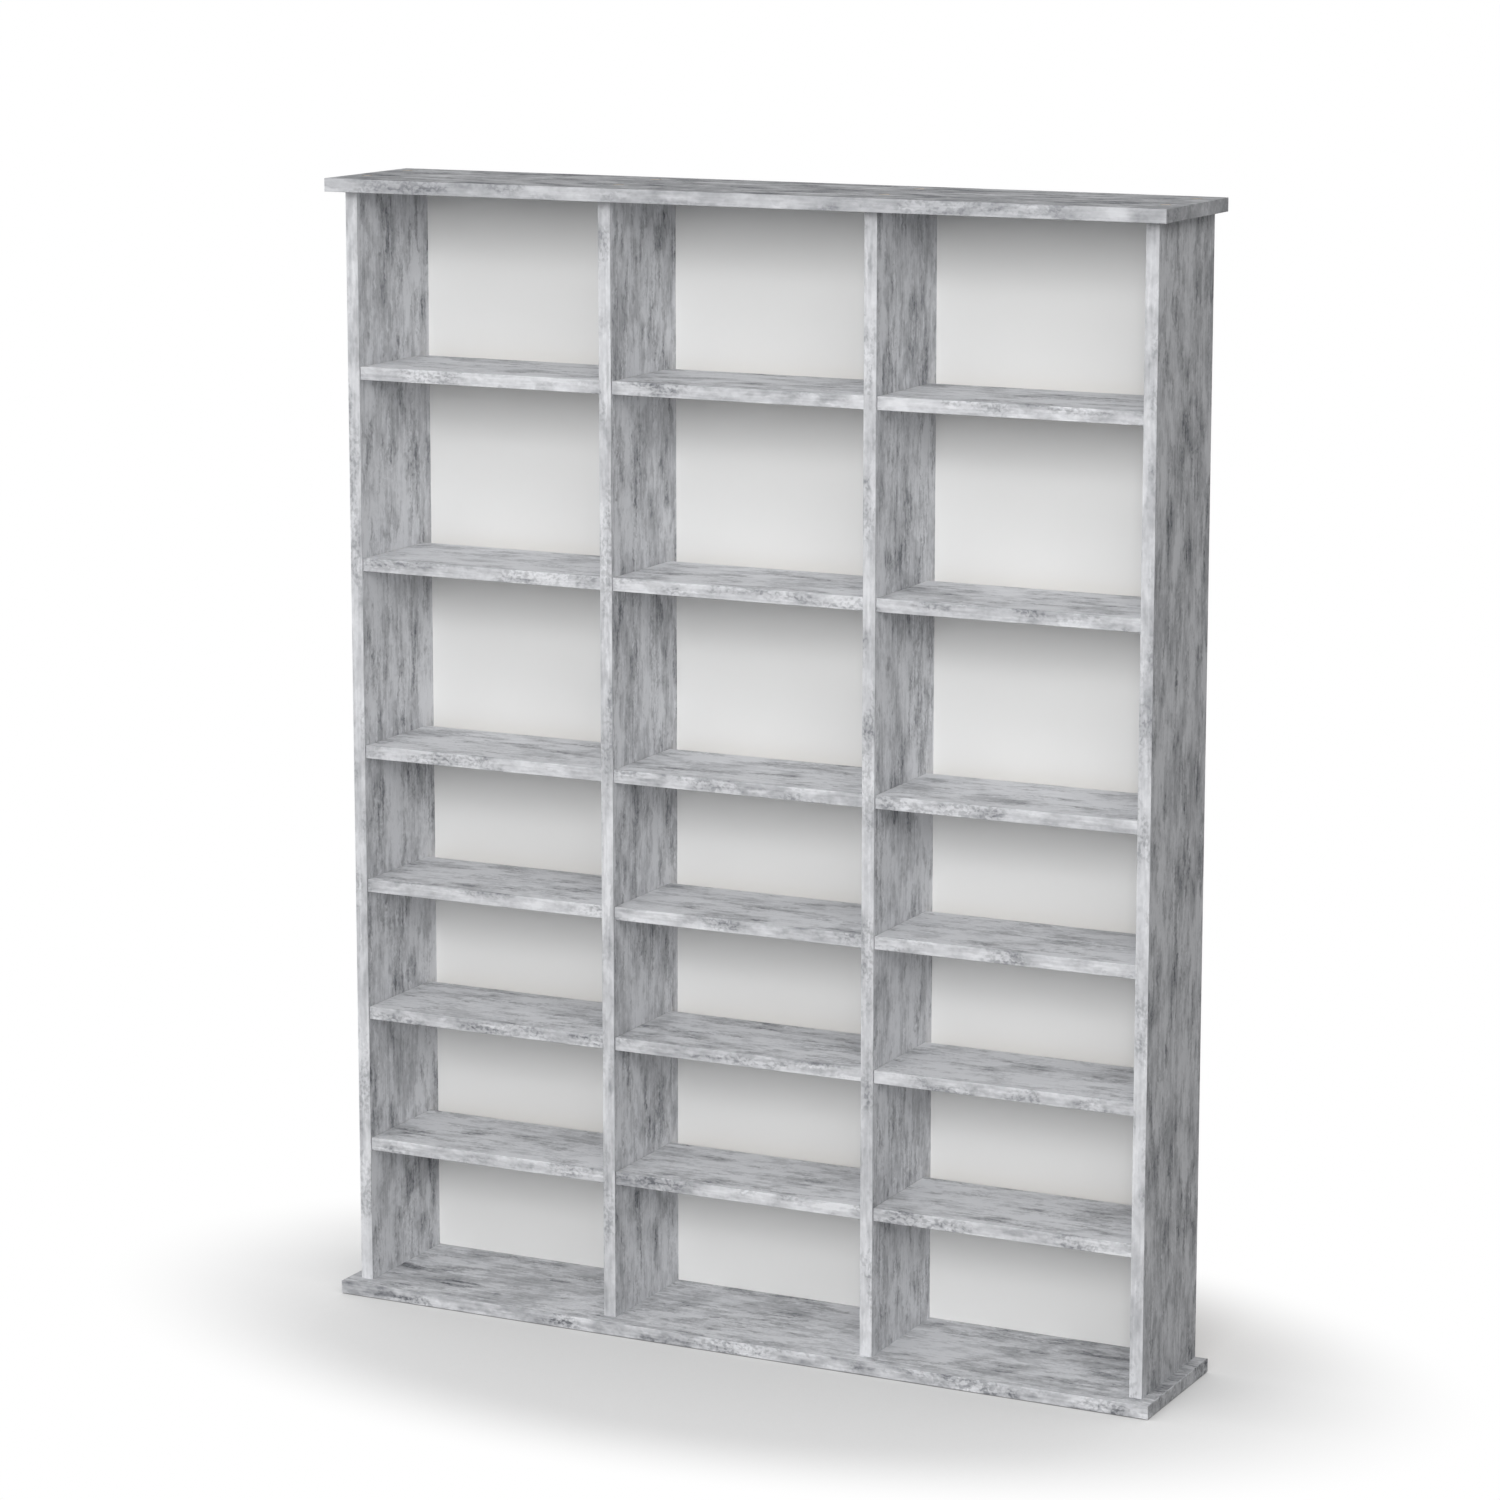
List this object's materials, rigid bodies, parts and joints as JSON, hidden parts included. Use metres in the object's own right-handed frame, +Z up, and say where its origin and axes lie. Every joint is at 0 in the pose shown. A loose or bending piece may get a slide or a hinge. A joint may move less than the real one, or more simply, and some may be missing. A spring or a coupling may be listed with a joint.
{
  "type": "media rack",
  "caption": "Open free-standing rack for CD and DVD cases: equal columns of compartments with loose shelves, overhanging base and top boards, white back.",
  "frame": {"origin": "middle of the base board's underside, on the floor", "axes": "+Z up; the open front faces -Y and the back sheets face +Y; +X is to the right as the rack is looked at from the front"},
  "size_m": [1.01, 0.18, 1.3],
  "materials": {
    "board_decor": "melamine-faced chipboard, grey weathered concrete decor, matt",
    "band_decor": "edge band in the board's decor, matt, long edges slightly rounded",
    "white_sheet": "thin hard fibreboard, white lacquer in front, raw brown behind",
    "zinc_steel": "zinc-plated steel",
    "beech": "plain turned beech",
    "cap_plastic": "moulded grey polyethylene"
  },
  "bodies": {
    "carcass": {"base_board": "board_decor", "base_board_edge_bands": "band_decor", "top_board": "board_decor", "top_board_edge_bands": "band_decor", "left_side_panel": "board_decor", "left_side_panel_edge_band": "band_decor", "left_divider": "board_decor", "left_divider_edge_band": "band_decor", "right_divider": "board_decor", "right_divider_edge_band": "band_decor", "right_side_panel": "board_decor", "right_side_panel_edge_band": "band_decor", "left_back_sheet": "white_sheet", "middle_back_sheet": "white_sheet", "right_back_sheet": "white_sheet", "shelf_pins": "zinc_steel", "wooden_dowels": "beech", "base_board_screws": "zinc_steel", "top_board_screws": "zinc_steel", "screw_cover_caps": "cap_plastic", "back_sheet_nails": "zinc_steel"},
    "left_shelf_1": {"left_shelf_1": "board_decor", "left_shelf_1_edge_band": "band_decor"},
    "left_shelf_2": {"left_shelf_2": "board_decor", "left_shelf_2_edge_band": "band_decor"},
    "left_shelf_3": {"left_shelf_3": "board_decor", "left_shelf_3_edge_band": "band_decor"},
    "left_shelf_4": {"left_shelf_4": "board_decor", "left_shelf_4_edge_band": "band_decor"},
    "left_shelf_5": {"left_shelf_5": "board_decor", "left_shelf_5_edge_band": "band_decor"},
    "left_shelf_6": {"left_shelf_6": "board_decor", "left_shelf_6_edge_band": "band_decor"},
    "middle_shelf_1": {"middle_shelf_1": "board_decor", "middle_shelf_1_edge_band": "band_decor"},
    "middle_shelf_2": {"middle_shelf_2": "board_decor", "middle_shelf_2_edge_band": "band_decor"},
    "middle_shelf_3": {"middle_shelf_3": "board_decor", "middle_shelf_3_edge_band": "band_decor"},
    "middle_shelf_4": {"middle_shelf_4": "board_decor", "middle_shelf_4_edge_band": "band_decor"},
    "middle_shelf_5": {"middle_shelf_5": "board_decor", "middle_shelf_5_edge_band": "band_decor"},
    "middle_shelf_6": {"middle_shelf_6": "board_decor", "middle_shelf_6_edge_band": "band_decor"},
    "right_shelf_1": {"right_shelf_1": "board_decor", "right_shelf_1_edge_band": "band_decor"},
    "right_shelf_2": {"right_shelf_2": "board_decor", "right_shelf_2_edge_band": "band_decor"},
    "right_shelf_3": {"right_shelf_3": "board_decor", "right_shelf_3_edge_band": "band_decor"},
    "right_shelf_4": {"right_shelf_4": "board_decor", "right_shelf_4_edge_band": "band_decor"},
    "right_shelf_5": {"right_shelf_5": "board_decor", "right_shelf_5_edge_band": "band_decor"},
    "right_shelf_6": {"right_shelf_6": "board_decor", "right_shelf_6_edge_band": "band_decor"}
  },
  "joints": [
    {"name": "left_shelf_1_slide", "type": "slide", "parent": "carcass", "child": "left_shelf_1", "axis": [0, -1, 0], "range_m": [-0.0187, 0.17]},
    {"name": "left_shelf_2_slide", "type": "slide", "parent": "carcass", "child": "left_shelf_2", "axis": [0, -1, 0], "range_m": [-0.0187, 0.17]},
    {"name": "left_shelf_3_slide", "type": "slide", "parent": "carcass", "child": "left_shelf_3", "axis": [0, -1, 0], "range_m": [-0.0187, 0.17]},
    {"name": "left_shelf_4_slide", "type": "slide", "parent": "carcass", "child": "left_shelf_4", "axis": [0, -1, 0], "range_m": [-0.0187, 0.17]},
    {"name": "left_shelf_5_slide", "type": "slide", "parent": "carcass", "child": "left_shelf_5", "axis": [0, -1, 0], "range_m": [-0.0187, 0.17]},
    {"name": "left_shelf_6_slide", "type": "slide", "parent": "carcass", "child": "left_shelf_6", "axis": [0, -1, 0], "range_m": [-0.0187, 0.17]},
    {"name": "middle_shelf_1_slide", "type": "slide", "parent": "carcass", "child": "middle_shelf_1", "axis": [0, -1, 0], "range_m": [-0.0187, 0.17]},
    {"name": "middle_shelf_2_slide", "type": "slide", "parent": "carcass", "child": "middle_shelf_2", "axis": [0, -1, 0], "range_m": [-0.0187, 0.17]},
    {"name": "middle_shelf_3_slide", "type": "slide", "parent": "carcass", "child": "middle_shelf_3", "axis": [0, -1, 0], "range_m": [-0.0187, 0.17]},
    {"name": "middle_shelf_4_slide", "type": "slide", "parent": "carcass", "child": "middle_shelf_4", "axis": [0, -1, 0], "range_m": [-0.0187, 0.17]},
    {"name": "middle_shelf_5_slide", "type": "slide", "parent": "carcass", "child": "middle_shelf_5", "axis": [0, -1, 0], "range_m": [-0.0187, 0.17]},
    {"name": "middle_shelf_6_slide", "type": "slide", "parent": "carcass", "child": "middle_shelf_6", "axis": [0, -1, 0], "range_m": [-0.0187, 0.17]},
    {"name": "right_shelf_1_slide", "type": "slide", "parent": "carcass", "child": "right_shelf_1", "axis": [0, -1, 0], "range_m": [-0.0187, 0.17]},
    {"name": "right_shelf_2_slide", "type": "slide", "parent": "carcass", "child": "right_shelf_2", "axis": [0, -1, 0], "range_m": [-0.0187, 0.17]},
    {"name": "right_shelf_3_slide", "type": "slide", "parent": "carcass", "child": "right_shelf_3", "axis": [0, -1, 0], "range_m": [-0.0187, 0.17]},
    {"name": "right_shelf_4_slide", "type": "slide", "parent": "carcass", "child": "right_shelf_4", "axis": [0, -1, 0], "range_m": [-0.0187, 0.17]},
    {"name": "right_shelf_5_slide", "type": "slide", "parent": "carcass", "child": "right_shelf_5", "axis": [0, -1, 0], "range_m": [-0.0187, 0.17]},
    {"name": "right_shelf_6_slide", "type": "slide", "parent": "carcass", "child": "right_shelf_6", "axis": [0, -1, 0], "range_m": [-0.0187, 0.17]}
  ]
}
